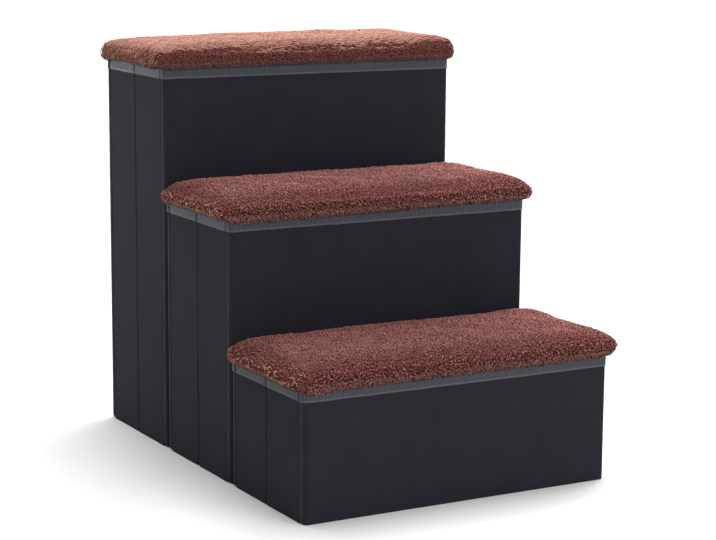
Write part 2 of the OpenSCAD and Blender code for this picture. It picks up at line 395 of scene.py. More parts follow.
def plush_pile(name, roots, middle, tips, warm):
    """Sherpa pile: each curl painted dark at its roots and pale at its tips, as painted shade and
    light, with warmer curls low down and most on the left, and dull curls among them.
    """
    m = Nodes(name, Specular_IOR_Level=0.15, Sheen_Weight=0.30, Sheen_Roughness=0.45,
              Sheen_Tint=(1.0, 0.55, 0.46, 1))
    pile = m.add("Attribute", attribute_name="pile")
    split = m.add("SeparateColor")
    m.link(pile.outputs["Color"], split.inputs["Color"])
    tip, tint, heat = (split.outputs[channel] for channel in ("Red", "Green", "Blue"))
    fibres = m.noise(m.place(), 1400, 3, 0.7)
    patches = m.noise(m.place(), 45, 2, 0.5)
    along = m.plus(m.times(tip, 0.9), m.times(m.minus(fibres, 0.5), 0.35))
    base = m.ramp(along, (0.0, roots), (0.5, middle), (1.0, tips))
    base = m.mix(m.times(tint, 0.7), base, m.mix(0.35, roots, middle))
    base = m.mix(m.times(heat, 0.75), base, warm)
    base = m.mix(m.times(patches, 0.18), base, tips)
    # the alpha multiplies in painted light and shade
    base = m.mix(1.0, base, pile.outputs["Alpha"], "MULTIPLY")
    return m.finish(base, fibres, 0.75, 0.95, fibres, 0.5, 0.0003)


def shaded_plush_ground(name, dark, light):
    """The knitted ground of the plush with the roots of its curls, seen between them, coloured dark
    as painted shade between the curls.
    """
    m = Nodes(name, Specular_IOR_Level=0.08)
    fibres = m.noise(m.place(), 1100, 4, 0.7)
    height = m.minus(fibres, m.times(m.cells(m.place(), 330.0), 0.9))
    base = m.ramp(height, (0.0, dark), (0.6, light))
    return m.finish(base, fibres, 0.85, 0.98, height, 0.8, 0.0012)


def lining():
    """Black non-woven cloth: pressed fibres in a fine point grid."""
    m = Nodes("lining", Specular_IOR_Level=0.3, Sheen_Weight=0.08)
    dots = m.cells(m.place(), 620.0, 0.25)
    fibres = m.noise(m.place((1, 0.35, 1)), 800, 4, 0.7)
    patches = m.noise(m.place(), 18, 3, 0.6)
    base = m.ramp(fibres, (0.25, (0.0095, 0.0095, 0.0110)), (0.8, (0.0260, 0.0258, 0.0285)))
    base = m.mix(m.times(patches, 0.35), base, (0.017, 0.017, 0.019))
    return m.finish(base, fibres, 0.7, 0.9, m.plus(dots, m.times(fibres, 0.5)), 0.5, 0.0003)


def fibreboard():
    """Bare pressed board: layers of light and dark chips."""
    m = Nodes("fibreboard", Specular_IOR_Level=0.3)
    chips = m.noise(m.place((1, 1, 3)), 240, 5, 0.7)
    base = m.ramp(chips, (0.3, (0.23, 0.145, 0.080)), (0.7, (0.46, 0.33, 0.20)))
    base = m.mix(m.times(m.cells(m.place(), 420.0), 0.5), base, (0.30, 0.20, 0.115))
    return m.finish(base, chips, 0.65, 0.85, chips, 0.4, 0.0004)


def foam():
    """Open-cell foam, a little yellowed in patches."""
    m = Nodes("foam", Specular_IOR_Level=0.2)
    cells = m.cells(m.place(), 700.0)
    shades = m.noise(m.place(), 30, 3, 0.6)
    base = m.ramp(cells, (0.1, (0.46, 0.40, 0.27)), (0.6, (0.74, 0.68, 0.52)))
    base = m.mix(m.times(shades, 0.3), base, (0.66, 0.58, 0.38))
    return m.finish(base, shades, 0.85, 0.97, cells, 0.7, 0.0005)


def fastener():
    """Hook-and-loop strip: a dense black nap in rows."""
    m = Nodes("fastener", Specular_IOR_Level=0.4)
    hooks = m.cells(m.place(), 900.0, 0.45)
    nap = m.noise(m.place(), 900, 3, 0.7)
    base = m.ramp(hooks, (0.1, (0.020, 0.020, 0.022)), (0.6, (0.006, 0.006, 0.007)))
    return m.finish(base, nap, 0.45, 0.8, m.minus(nap, hooks), 0.8, 0.0006)


WALL_CLOTH, TAPE = wall_cloth(), binding_tape()
THREAD = thread("thread", (0.085, 0.088, 0.100), (0.155, 0.158, 0.175))
PALE_THREAD = thread("pale_thread", (0.36, 0.36, 0.39), (0.52, 0.52, 0.55))
LINING, BOARD, FOAM, FASTENER = lining(), fibreboard(), foam(), fastener()
LOW_PLUSH = (  # roots, middle and tips of the curls, and the tips of warm ones; the dark roots and pale tips are painted shade and light along each curl
    (0.070, 0.017, 0.015), (0.252, 0.094, 0.090), (0.455, 0.203, 0.198), (0.47, 0.225, 0.100),
)
# a lit copy of the plush's colours for the top lid's top and left side: painted light
LIT_TOP_PLUSH = (
    (0.190, 0.070, 0.055), (0.430, 0.205, 0.158), (0.760, 0.475, 0.370), (0.60, 0.30, 0.13),
)
PILE = [
    plush_pile(f"plush_{step}", *colours)
    for step, colours in zip(STEPS, (LOW_PLUSH, LOW_PLUSH, LIT_TOP_PLUSH))
]
# dark reddish ground: painted shade in the gaps between the curls
SHADED_GROUND = shaded_plush_ground("shaded_plush_ground", (0.060, 0.014, 0.011), (0.240, 0.075, 0.060))
# near-black pile without sheen for the locks that face down under a lid's edge: a painted shadow
SHADOW_PILE = shaded_plush_ground("plush_painted_shadow", (0.010, 0.005, 0.005), (0.034, 0.015, 0.014))


def end_plan(grow=0.0):
    """An end wall from above: outer face on Y 0, ends turned back towards the side walls."""
    w, r, face, end = HALF + grow, CORNER_R + grow, PANEL_T + grow, RETURN_END
    return rounded_path([
        (-w, -grow, r), (w, -grow, r), (w, end, 0.9), (POCKET, end, 0.5),
        (POCKET, face, 0.3), (-POCKET, face, 0.3), (-POCKET, end, 0.5), (-w, end, 0.9),
    ], 7.0)


def side_plan(grow=0.0):
    """Half a side wall from above: outer face on X 0, hinged end on Y 0."""
    r, face = EDGE_R + grow, PANEL_T + grow
    return rounded_path(
        [(-grow, 0, r), (face, 0, 0.5), (face, SIDE_HALF, 0.5), (-grow, SIDE_HALF, r)], 6.5)


def place_end(points, index, back):
    """Stands a front wall's points in their box, or turns them round as a back wall's."""
    return points * [1, -1 if back else 1, 1] + [0, FRONTS[index] + (DEPTH if back else 0), 0]


def place_side(points, index, right, rear):
    """Stands the points of the left side wall's front half, or of another half, in their box."""
    out = points + [-HALF, SIDE_START - DEPTH / 2, 0]
    return out * [-1 if right else 1, -1 if rear else 1, 1] + [0, FRONTS[index] + DEPTH / 2, 0]


def heights(top):
    """Levels of a wall: close together round its foot and head, and even between them."""
    foot = [0.0, 0.25, 0.8, 1.8, 3.2, 5.0, 8.0, 12.0]
    head = [top - 6.0, top - 2.5, top - 0.9, top - 0.2, top]
    count = int((head[0] - foot[-1]) // 11)
    return np.concatenate([foot, np.linspace(foot[-1], head[0], count + 2)[1:-1], head])


def wall_rows(plan, top, seed, along):
    """Rows of a covered wall: the plan at each height, with the cloth's soft unevenness, a
    rounded foot and head, and a paleness near the outer upright edges and at the foot that is
    partly wear and partly a painted highlight."""
    taut, foot_h, head_h = 9.0, 0.8, 0.9  # the cloth lies flat so near an edge
    normals, run = outward(plan), plan[:, along]
    low, high = run.min(), run.max()
    from_edge = np.clip(np.minimum(run - low, high - run), 0, taut)
    middle = (low + high) / 2
    rows, wear_and_light = [], []
    for z in heights(top):
        inset = 0.0
        if z < foot_h:
            inset = 0.55 * (1 - z / foot_h) ** 1.5
        if z > top - head_h:
            inset = 0.45 * ((z - top + head_h) / head_h) ** 1.5
        flat = at_height(plan, z)
        soft = 0.16 * waves(flat, seed, 70) + 0.07 * waves(flat, seed + 1, 23) - 0.22
        moved = plan + normals * (soft * from_edge / taut - inset)[:, None]
        reach = (high - low) / 2 - FOOT_R + math.sqrt(FOOT_R**2 - max(0.0, FOOT_R - z) ** 2)
        moved[:, along] = middle + np.clip(moved[:, along] - middle, -reach, reach)
        rows.append(at_height(moved, z))
        # painted highlight and wear: paler along the upright edges and at the foot
        line = np.exp(-((from_edge / 1.1) ** 2)) * (0.75 + 0.25 * waves(flat, seed + 2, 40))
        wear_and_light.append(np.clip(np.maximum(line, 0.4 * np.exp(-z / 1.2)), 0, 1))
    return np.array(rows), np.concatenate(wear_and_light)


TAPE_LEVELS = (  # height over the lower edge, how far it stands proud, wear and painted highlight, and UV height
    (0.05, -0.55, 0.2, 0), (0.0, -0.25, 0.5, 0.3), (0.25, 0.02, 0.8, 0.6), (0.9, 0.12, 0.75, 1.2),
    (1.7, 0.05, 0.35, 2), (2.6, -0.06, 0.1, 3), (4.5, 0.0, 0.0, 5), (7.5, 0.02, 0.0, 8),
    (10.5, -0.02, 0.05, 11), (TAPE_H - 1.1, -0.08, 0.1, 12.5), (TAPE_H - 0.35, -0.35, 0.2, 13.2),
    (TAPE_H, -1.0, 0.2, 14.2),
)


def tape_rows(plan, grown, rim, seed, pressed):
    """Rows of a folded tape, from the closed top of its inside, down, round its lower edge and
    up the outside to its closed top, with their wear and painted highlight, and their UV height.
    Close stitching leaves the outside pressed in."""
    normals, low = outward(grown), rim - TAPE_H
    rows = [at_height(plan, z) for z in (rim - TAPE_T - 0.02, low + 5.0, low + 0.1)]
    wear_and_light, uv_heights = [0.0] * len(rows), [TAPE_H, 5.0, 0.0]
    for up, proud, pale, uv_height in TAPE_LEVELS:
        flat = at_height(grown, low + up)
        uneven = 0.09 * waves(flat, seed, 26) + 0.05 * waves(flat, seed + 1, 9)
        if not 0.2 < up < TAPE_H - 0.5:
            uneven *= 0.5
        stand = np.minimum(proud + uneven - pressed, FOLD_ROOM)[:, None]
        row = at_height(grown + normals * stand, low + up)
        if up < 3:
            row[:, 2] += 0.22 * waves(flat, seed + 2, 34)
        rows.append(row)
        wear_and_light.append(pale)
        uv_heights.append(uv_height)
    return np.array(rows), np.repeat(wear_and_light, len(grown)), np.repeat(uv_heights, len(grown))


def stitches(path, normals, pitch=3.7, length=2.7, thick=0.42, sink=0.1):
    """Sewing stitches along a path: short tapered loops of thread that lie on the cloth."""
    run = around(path)
    count = int((run[-1] - 1.0) // pitch)
    start = (run[-1] - (count - 1) * pitch - length) / 2
    shares = np.array([0.0, 0.12, 0.5, 0.88, 1.0])
    lift = np.array([-0.45, 0.25, 0.55, 0.25, -0.45]) * thick - sink
    radii = np.array([0.55, 0.95, 1.0, 0.95, 0.55]) * thick
    points, triangles = [], []
    for k in range(count):
        at = start + k * pitch + shares * length
        centre, normal = (
            np.stack([np.interp(at, run, values[:, i]) for i in range(3)], axis=1)
            for values in (path, normals)
        )
        p, t = tube(centre + normal * lift[:, None], radii, 4)
        points.append(p)
        triangles.append(t + k * len(p))
    return np.concatenate(points), np.concatenate(triangles)


def add_stitches(points, faces, lines, flip=False):
    """Adds the stitches of (path, normals, settings, pale) lines to a mesh. Returns its points
    and each face's material: 0 for the cloth, 1 for thread and 2 for pale thread."""
    indices = [0] * len(faces)
    for path, normals, settings, pale in lines:
        p, t = stitches(path, normals, **settings)
        faces += [tuple(f) for f in (t[:, ::-1] if flip else t) + len(points)]
        points = np.concatenate([points, p])
        indices += [2 if pale else 1] * len(t)
    return points, indices


def run_where(plan, keep):
    """The part of a closed plan that keep picks, as one run of points in order."""
    chosen = np.array([keep(p) for p in plan])
    start = int(np.flatnonzero(chosen & ~np.roll(chosen, 1))[0])
    return np.roll(plan, -start, axis=0)[: chosen.sum()]


def seam(run, rim, settings, pale=False):
    """A tape's seam along a run of its plan, as a line for add_stitches."""
    ahead = unit(np.gradient(run, axis=0))
    normals = np.column_stack([ahead[:, 1], -ahead[:, 0], np.zeros(len(run))])
    return at_height(run, rim - TAPE_H + SEAM_UP), normals, settings, pale


def end_seams(grown, rim):
    """The seams of an end wall's tape, along its outside and its inside."""
    inside = 3  # deeper than this lies the wall's inner face
    outer = run_where(grown, lambda p: p[1] < RETURN_END - 1.2 and not (
        abs(p[0]) < POCKET + 0.1 and p[1] > inside))
    inner = run_where(grown, lambda p: abs(p[0]) < POCKET - 2 and p[1] > inside)
    return [seam(outer, rim, {}), seam(inner, rim, {})]


def side_seams(grown, rim, boxed):
    """The seams of a side wall's tape, flush so that it folds, and a pale stitched box if it has
    one."""
    end = 1.5  # the seam keeps so far off the wall's ends
    flush, pale = {"thick": 0.34, "sink": 0.345}, {"length": 2.9, "thick": 0.6, "sink": 0.76}
    outer = run_where(grown, lambda p: p[0] < 0.5 and end < p[1] < SIDE_HALF - end)
    inner = run_where(grown, lambda p: p[0] > PANEL_T - 0.5 and end < p[1] < SIDE_HALF - end)
    seams = [seam(outer, rim, pale if boxed else flush, boxed), seam(inner, rim, flush)]
    if not boxed:
        return seams
    near, far, across = 5.0, SIDE_HALF - 14.0, rim - 2.2
    bottom, top = rim - TAPE_H + 1.5, rim - 1.8
    for a, b, count, settings in (
        ((far, bottom), (far, top), 8, {**pale, "pitch": 3.3}),
        ((near, bottom), (near, top), 8, {**pale, "pitch": 3.3}),
        ((far, across), (near, across), 24, pale),
    ):
        path = np.linspace((-TAPE_T, *a), (-TAPE_T, *b), count)
        seams.append((path, np.tile([-1.0, 0, 0], (count, 1)), settings, True))
    return seams


def make_wall(label, index, body, plan_of, along, seeds, seams_of, place, flip,
              lit_paleness=0.0, pressed=0.0):
    """A covered wall and the binding tape folded over its upper edge."""
    rim, plan, grown = RIMS[index], plan_of(), plan_of(TAPE_T)
    rows, wear_and_light = wall_rows(plan, rim - TAPE_T - 0.05, seeds[0], along)
    points = rows.reshape(-1, 3)
    wall = loft(f"{label}_wall_cloth", place(points), len(rows), WALL_CLOTH, 50, flip)
    set_wear_and_light(wall, wear_and_light)
    set_uv(wall, np.column_stack([np.tile(around(plan), len(rows)), points[:, 2]]))
    dress(wall, body, f"{label}_panel")

    rows, wear_and_light, uv_heights = tape_rows(plan, grown, rim, seeds[1], pressed)
    faces = loft_faces(*rows.shape[:2], flip)
    points, indices = add_stitches(rows.reshape(-1, 3), faces, seams_of(grown, rim), flip)
    tape = mesh_object(f"{label}_binding", place(points), faces, [TAPE, THREAD, PALE_THREAD],
                       60, indices)
    sewn = points[len(wear_and_light):]
    # the side walls' tapes are painted paler on top of that: painted light, most on the top step
    set_wear_and_light(tape, np.concatenate([np.clip(wear_and_light + lit_paleness, 0, 1.2), np.zeros(len(sewn))]))
    uv = np.column_stack([np.tile(around(grown), len(rows)), uv_heights])
    set_uv(tape, np.concatenate([uv, sewn[:, :2]]))
    dress(tape, body, f"{label}_tape")


for index, step in enumerate(STEPS):
    for back, end in enumerate(("front", "back")):
        seed = 100 * index + 10 * back
        make_wall(f"{step}_{end}", index, WALLS[index][back], end_plan, 0, (seed, seed + 40),
                  end_seams, lambda p: place_end(p, index, back), bool(back))
    for right, rear in product((0, 1), repeat=2):
        label = f"{step}_{('left', 'right')[right]}_{('front', 'rear')[rear]}"
        seed = 500 + 100 * index + 20 * right + 10 * rear
        boxed = label == "top_left_rear"
        make_wall(label, index, f"{label}_wall", side_plan, 1, (seed, seed + 5),
                  lambda grown, rim: side_seams(grown, rim, boxed),
                  lambda p: place_side(p, index, right, rear), right != rear,
                  # painted light: the side walls' tapes are painted paler, most on the top step
                  lit_paleness=0.7 if index == TOP else 0.1, pressed=0.35 if boxed else 0.0)


def lid_edges(index):
    """Where a lid's front and back edges lie."""
    front, wall_back = FRONTS[index] - FRONT_OVER, FRONTS[index] + DEPTH
    return front, wall_back + (FRONT_OVER if index == TOP else GAP - RISER_GAP)


def lid_plan(index, inset, radius, draw, pieces=(44, 20, 8)):
    """A lid's plan, anticlockwise from its back right corner, set in, and drawn in between its
    corners. pieces divide a long side, a short side and a corner."""
    front, back = lid_edges(index)
    x, y0, y1 = LID_HALF - inset - radius, front + inset + radius, back - inset - radius
    centres = np.array([(x, y1), (-x, y1), (-x, y0), (x, y0)])
    ways = np.array([(0, 1), (-1, 0), (0, -1), (1, 0)])
    points = []
    for k, (centre, way) in enumerate(zip(centres, ways)):
        for j in range(pieces[2] + 1):
            angle = math.radians(90 * k + 90 * j / pieces[2])
            points.append(centre + radius * np.array([math.cos(angle), math.sin(angle)]))
        start, end = centre + radius * way, centres[(k + 1) % 4] + radius * way
        count = pieces[k % 2]
        for share in (j / count for j in range(1, count)):
            pull = draw * math.sin(math.pi * share) ** 2
            points.append(start + (end - start) * share - way * pull)
    return np.array(points)


def lid_rows(index, section, least_radius, draw_of):
    """Rows of a layer of a lid, whose section is (inset, height over the rim) points."""
    rows = []
    for inset, z in section:
        plan = lid_plan(index, inset, max(LID_R - inset, least_radius), draw_of(inset))
        rows.append(at_height(plan, RIMS[index] + z))
    return np.array(rows)


def inset_and_way(points, index):
    """How far points lie inside a lid's outline, and the way out of it."""
    front, back = lid_edges(index)
    place = points[:, :2] - [0, (front + back) / 2]
    over = np.abs(place) - [LID_HALF - LID_R, (back - front) / 2 - LID_R]
    corner = np.maximum(over, 0)
    length = np.linalg.norm(corner, axis=1)
    inset = LID_R - length - np.minimum(over.max(axis=1), 0)
    straight = np.where(over[:, :1] > over[:, 1:], [[1.0, 0.0]], [[0.0, 1.0]])
    way = np.where(length[:, None] > 1e-6, unit(corner), straight)
    return inset, way * np.where(place < 0, -1, 1)


UNDERSIDE = [(24.0, 1.5), (7.6, 1.5), (5.6, 1.7), (4.9, 2.8), (4.6, 5.0)]
SHOULDERS = [  # the rest of each cushion's section, from its edge to its top
    [(4.5, 10.0), (4.7, 14.5), (5.8, 18.0), (8.2, 20.6), (13.0, 22.8), (22.0, 24.5), (40.0, 26.0),
     (70.0, 27.0)],
    [(4.5, 8.0), (4.9, 12.0), (6.2, 15.6), (8.8, 18.7), (13.5, 21.4), (21.0, 23.6), (40.0, 25.8),
     (70.0, 27.0)],
    [(4.5, 10.0), (4.6, 15.0), (4.9, 19.2), (6.0, 22.0), (8.5, 23.8), (14.0, 24.9), (40.0, 26.2),
     (70.0, 27.0)],
]


def cushion_blank(index):
    """The lid's stuffed form before it is blown up: the space that the plush's ground encloses."""
    section = UNDERSIDE + SHOULDERS[index]
    rows = lid_rows(index, section, 5.0, lambda inset: 1.1 if inset < 15 else 0.3)
    return loft(f"{STEPS[index]}_cushion", rows.reshape(-1, 3), len(rows), SHADED_GROUND)


def apply_modifiers(obj):
    """Bakes an object's modifiers into its mesh."""
    bpy.context.view_layer.update()
    graph = bpy.context.evaluated_depsgraph_get()
    mesh = bpy.data.meshes.new_from_object(obj.evaluated_get(graph), depsgraph=graph)
    old = obj.data
    obj.modifiers.clear()
    obj.data = mesh
    bpy.data.meshes.remove(old)
    mesh.name = obj.name


def mesh_points(obj):
    """A mesh's points, in millimetres."""
    points = np.zeros(len(obj.data.vertices) * 3)
    obj.data.vertices.foreach_get("co", points)
    return points.reshape(-1, 3) / MM


def set_points(obj, points):
    obj.data.vertices.foreach_set("co", (points * MM).astype(np.float32).ravel())
    obj.data.update()


def blow_up(obj, index):
    """Fills the cushion with a short pressure simulation, then caps how far each point moved."""
    remesh = obj.modifiers.new("remesh", "REMESH")
    remesh.mode = "VOXEL"
    remesh.voxel_size = 0.0042
    apply_modifiers(obj)
    start = mesh_points(obj)
    height = start[:, 2] - RIMS[index]
    on_top, puffy, under = height > 12, height > 17, height < 3.0
    most, least = 3.2, 0.9  # how far the top and the rest may swell
    hem_wide, hem_drop, lowest, highest = 24.0, 0.8, 0.5, 1.35  # of the turned under hem
    last_frame = 20
    cloth = obj.modifiers.new("cloth", "CLOTH")
    cloth.settings.use_pressure = True
    cloth.settings.uniform_pressure_force = 4
    cloth.settings.effector_weights.gravity = 0
    cloth.settings.quality = 4
    cloth.point_cache.frame_start = 1
    cloth.point_cache.frame_end = last_frame
    for number in range(1, last_frame + 1):
        bpy.context.scene.frame_set(number)
    apply_modifiers(obj)
    bpy.context.scene.frame_set(1)
    puffed = mesh_points(obj)
    moved = puffed - start
    far = np.maximum(np.linalg.norm(moved, axis=1), 1e-6)
    cap = np.where(puffy, most, least)
    points = start + moved * (cap * np.tanh(far / cap) / far)[:, None]
    hem = rise(hem_wide - inset_and_way(points, index)[0], 3.0)
    flat = points[:, 2] - RIMS[index]
    flat = np.minimum(np.maximum(flat, lowest), highest - hem_drop * hem) + RIMS[index]
    points[:, 2] = np.where(under, flat, points[:, 2])
    lumps = 0.7 * waves(points, 900 + index, 80) + 0.35 * waves(points, 930 + index, 30)
    points[:, 2] += np.where(on_top, lumps, 0)
    set_points(obj, points)
    subdivide = obj.modifiers.new("subdivide", "SUBSURF")
    subdivide.levels = subdivide.render_levels = 1
    apply_modifiers(obj)
    set_points(obj, wrap_board(lean(mesh_points(obj), index), index))


def wrap_board(points, index):
    """Draws the cover tight round the board's edges, whose corners the remesh cut off."""
    edge, under, radius = 4.9, 0.5, 2.4
    was, way = inset_and_way(points, index)
    z = points[:, 2] - RIMS[index]
    loose = (was > edge) & (was < 13) & (z > under) & (z < 6)
    side = loose & (was - edge < z - under)
    side |= (was > 5.8) & (was < 9.5) & (z >= 6) & (z < 15)
    inset = np.where(side, edge, was)
    z = np.where(loose & ~side, under, z)
    corner = np.hypot(inset - edge, z - under) < radius
    inset = np.where(corner, edge, inset)
    out = points.copy()
    out[:, :2] += way * (was - inset)[:, None]
    out[:, 2] = np.where(corner, under, z) + RIMS[index]
    return out


def lean(points, index):
    """Fills a lid's right end, most just above its board, and slackens its left."""
    left, right = ((1.2, 9.0), (1.2, 7.5), (0.3, 3.2))[index]
    share = rise(np.abs(points[:, 0]) - 150, 58) ** 2
    z = points[:, 2] - RIMS[index]
    full = (0.2 + 0.8 * rise(z - 2, 5)) * (1 - 0.6 * rise(z - 9, 14))
    out = points.copy()
    out[:, 0] += share * np.where(out[:, 0] < 0, left, right * full)
    return out


def nearness(points, x, y, wide):
    """1 at a place on the plan, and less with the distance from it, over about wide."""
    return np.exp(-((np.hypot(points[:, 0] - x, points[:, 1] - y) / wide) ** 2))


def droop(points, index):
    """Lets the plush sag past the box's walls, most at its front corners."""
    front, _ = lid_edges(index)
    out = points.copy()
    beyond = np.maximum(np.abs(out[:, 0]) - HALF, FRONTS[index] - out[:, 1])
    if index == TOP:
        beyond = np.maximum(beyond, out[:, 1] - FRONTS[index] - DEPTH)
    outside = rise(beyond - 2.0, 4.0)
    low = rise(RIMS[index] + 22 - out[:, 2], 22)
    left, right = nearness(out, -LID_HALF, front, 40), nearness(out, LID_HALF, front, 40)
    wavy = 0.5 + 0.5 * waves(points * [1, 1, 0], 950 + index, 55)
    out[:, 2] -= outside * low * (np.maximum(0.8 * left, 0.3 * right) + 0.6 * wavy)
    return round_off(out, index)


def round_off(points, index, share=1.0):
    """Lowers a lid's top towards its corners."""
    front, back = lid_edges(index)
    out = points.copy()
    height = rise(points[:, 2] - RIMS[index] - 8, 18)
    rear, near = ((4.0, 110), (4.5, 52)) if index == TOP else ((5.0, 34), (2.5, 40))
    for x, y, (deep, wide) in (
        (-LID_HALF, back, rear), (LID_HALF, back, (1.5, 30)), (-LID_HALF, front, near),
    ):
        out[:, 2] -= share * height * deep * nearness(out, x, y, wide)
    return out


def keep_clear(points, index):
    """Pushes plush out of the walls under it and off the riser behind it."""
    play, deepest = 1.9, 2.5  # what lies deeper over a wall than this is lifted
    wall_front, wall_back = FRONTS[index], FRONTS[index] + DEPTH
    x_limit, front_limit = HALF + play, wall_front - play
    back_limit = wall_back + play if index == TOP else 1e9
    out = points.copy()
    ways = np.stack([
        x_limit - np.abs(out[:, 0]), out[:, 1] - front_limit, back_limit - out[:, 1],
    ], axis=1)
    nearest, depth = ways.argmin(axis=1), ways.min(axis=1)
    low = out[:, 2] < RIMS[index] + LID_LIFT
    out[low & (depth > deepest), 2] = RIMS[index] + LID_LIFT
    aside = low & (depth > 0) & (depth <= deepest)
    sideways = aside & (nearest == 0)
    out[sideways, 0] = np.sign(out[sideways, 0]) * x_limit
    out[aside & (nearest == 1), 1] = front_limit
    out[aside & (nearest == 2), 1] = back_limit
    if index < TOP:
        out[:, 1] = np.minimum(out[:, 1], wall_back + GAP - 0.35)
    return out


def templates(seed, count, make_lock):
    """Points, tip shares and triangles of some locks of wool, which make_lock draws at random."""
    rng = np.random.default_rng(seed)
    points, tips = [], []
    for _ in range(count):
        path, radii, shares, end = make_lock(rng)
        p, triangles = tube(path, radii)
        points.append(p)
        tips.append([*np.repeat(shares, 3), end])
    return np.array(points), np.array(tips), triangles


def curl(rng, flat):
    """A small lock of sherpa: it leaves the ground, turns once round and tucks its tip in."""
    tilt = math.radians(rng.uniform(12, 38) if flat else rng.uniform(30, 80))
    radius = rng.uniform(1.05, 1.5) if flat else rng.uniform(1.15, 1.85)
    turns = rng.uniform(0.8, 1.25)
    t = np.linspace(0, 1, 7)
    a = -math.pi / 2 + turns * 2 * math.pi * t
    r = radius * (1 - 0.45 * t)
    u, v = r * np.cos(a), r * np.sin(a)
    path = np.stack([
        u + rng.uniform(-0.3, 0.3) * t,
        v * math.cos(tilt) + rng.uniform(-0.5, 0.5) * t,
        (v + radius) * math.sin(tilt) + rng.uniform(0.2, 0.8) * t - 0.35,
    ], axis=1)
    radii = rng.uniform(0.55, 0.72) * np.array([0.95, 1.0, 1.0, 0.95, 0.85, 0.7, 0.4])
    # the tip share, painted shade low on the curl and painted light at its crest, rises with
    # height; on the sides it starts 0.7 mm up
    dark = 0.0 if flat else 0.7
    return path, radii, rise(path[:, 2] - dark, 1.9), 0.6


# dark and least: where a lock's tip share, its painted shade and light, starts to rise, and the
# least it takes
Comb = namedtuple("Comb", "lengths widths highs bend dark least way jitter")
COMBS = {  # the top lid's locks: on its top, on its left side and on the other sides
    "top": Comb((5.5, 9.0), (0.34, 0.48), (0.8, 1.3), 0.8, 0.0, 0.35, (1, 0, -0.12), 0.38),
    "left": Comb((3.6, 6.0), (0.30, 0.42), (1.4, 2.7), 1.2, 1.3, 0.0, (0, 0.5, -0.85), 0.7),
    "side": Comb((3.0, 4.6), (0.30, 0.42), (0.9, 1.7), 1.0, 0.0, 0.15, (0.45, 0.2, -0.9), 0.9),
}


def strand(rng, comb):
    """A longer combed lock that lies along one direction, a little wavy."""
    length = rng.uniform(*comb.lengths)
    t = np.linspace(0, 1, 7)
    high = rng.uniform(*comb.highs)
    bend = rng.uniform(-comb.bend, comb.bend)
    wavy = 0.45 * np.sin(2 * math.pi * (t * rng.uniform(0.7, 1.4) + rng.random()))
    path = np.stack([
        length * (t - 0.5),
        wavy + bend * (t - 0.5) ** 2 * 4,
        -0.4 + high * np.sin(math.pi * (0.12 + 0.8 * t)) + 0.15,
    ], axis=1)
    radii = rng.uniform(*comb.widths) * np.array([0.9, 1.0, 1.0, 0.95, 0.85, 0.65, 0.3])
    return path, radii, np.clip((path[:, 2] - comb.dark) / 1.9, comb.least, 1), 0.7


def scatter(obj, seed, spacing_of):
    """Points spread over a mesh at least their own spacing apart, with the mesh's normals."""
    mesh = obj.data
    mesh.calc_loop_triangles()
    points = mesh_points(obj)
    normals = np.zeros(points.size)
    mesh.vertices.foreach_get("normal", normals)
    triangles = np.zeros(len(mesh.loop_triangles) * 3, np.int32)
    mesh.loop_triangles.foreach_get("vertices", triangles)
    triangles = triangles.reshape(-1, 3)
    a, b, c = (points[triangles[:, i]] for i in range(3))
    area = np.linalg.norm(np.cross(b - a, c - a), axis=1) / 2
    rng = np.random.default_rng(seed)
    count = int(area.sum() / 2.0)
    chosen = triangles[rng.choice(len(area), count, p=area / area.sum())]
    u, v = rng.random((2, count, 1))
    u, v = np.where(u + v > 1, 1 - u, u), np.where(u + v > 1, 1 - v, v)

    def between(values):
        a, b, c = (values[chosen[:, i]] for i in range(3))
        return a + u * (b - a) + v * (c - a)

    places, normals = between(points), unit(between(normals.reshape(-1, 3)))
    spacing = spacing_of(places, normals).tolist()
    cell, grid, kept = 4.0, {}, []
    spots, keys = places.tolist(), np.floor(places / cell).astype(int).tolist()
    ways = list(product((-1, 0, 1), repeat=3))
    for i, (spot, (x, y, z), gap) in enumerate(zip(spots, keys, spacing)):
        near = (j for dx, dy, dz in ways for j in grid.get((x + dx, y + dy, z + dz), ()))
        if gap > 0 and not any(math.dist(spot, spots[j]) < gap for j in near):
            grid.setdefault((x, y, z), []).append(i)
            kept.append(i)
    return places[kept], normals[kept]


def lay_out(anchors, normals, way, locks, seed, size, jitter, shade, uneven, heat, painted_brightness, spread):
    """Sets one lock on each anchor, turned towards way, as one mesh's arrays. Its colour holds
    the tip's share, dullness, warmth and a painted light and shade factor."""
    points, tips, triangles = locks
    rng = np.random.default_rng(seed)
    count, each = len(anchors), points.shape[1]
    pick = rng.integers(0, len(points), count)
    first = unit(way - normals * (normals @ way)[:, None])
    angle = rng.uniform(-jitter, jitter, (count, 1))
    along = np.cos(angle) * first + np.sin(angle) * np.cross(normals, first)
    local = points[pick] * (size * rng.uniform(0.8, 1.2, count))[:, None, None]
    basis = np.stack([along, np.cross(normals, along), normals], axis=1)
    placed = anchors[:, None, :] + local @ basis
    colours = np.zeros((count, each, 4))
    colours[:, :, 0] = tips[pick] * shade
    colours[:, :, 1] = (uneven * rng.random(count))[:, None]
    colours[:, :, 2] = (heat * rng.uniform(0.2, 1.0, count))[:, None]
    # painted light and shade, with a random spread
    colours[:, :, 3] = (painted_brightness * rng.uniform(1 - spread, 1 + spread, count))[:, None]
    faces = triangles + (np.arange(count) * each)[:, None, None]
    return placed.reshape(-1, 3), faces.reshape(-1, 3), colours.reshape(-1, 4)


